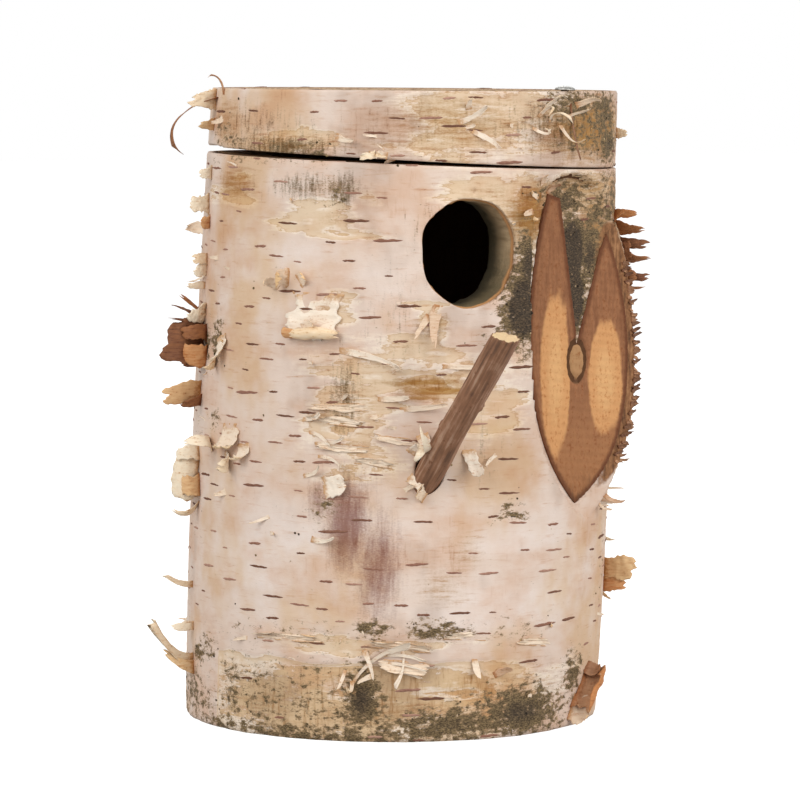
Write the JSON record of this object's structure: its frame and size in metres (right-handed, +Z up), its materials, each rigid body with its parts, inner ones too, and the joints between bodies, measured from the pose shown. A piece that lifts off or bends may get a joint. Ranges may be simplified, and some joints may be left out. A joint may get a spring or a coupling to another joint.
{
  "type": "log nest box",
  "caption": "Bird nest box made from a hollow birch log with peeling bark, a round entrance, a twig perch and a swing lid cut from the same log.",
  "frame": {"origin": "on the log's axis at its base, where it stands", "axes": "+Z up, -Y the way the entrance faces, +Y towards the tree or wall behind"},
  "size_m": [0.179, 0.2121, 0.2447],
  "materials": {
    "sawn_wood": "rough sawn",
    "birch_bark": "peeling, matt",
    "peeled_bark": "papery, matt",
    "twig_bark": "bark, matt",
    "steel": "dull zinc"
  },
  "bodies": {
    "log": {"log_wall": "sawn_wood", "log_bark": "birch_bark", "floor_disc": "sawn_wood", "floor_nails": "steel", "pivot_screw": "steel", "perch_twig": "twig_bark", "peeled_flap_left": "peeled_bark", "peeled_strip_left": "peeled_bark", "peeled_curl_left": "peeled_bark", "peeled_ribbon_low_left": "peeled_bark", "peeled_sheet_front": "peeled_bark", "peeled_roll_low_right": "peeled_bark"},
    "lid": {"lid_slice": "sawn_wood", "lid_bark": "birch_bark", "peeled_ribbon_lid": "peeled_bark"}
  },
  "joints": [
    {"name": "lid_swing", "type": "hinge", "parent": "log", "child": "lid", "pos_m": [0.04758, -0.05645, 0.21377], "axis": [0.0351, -0.0156, 0.9993], "range_deg": [0, 180]}
  ]
}
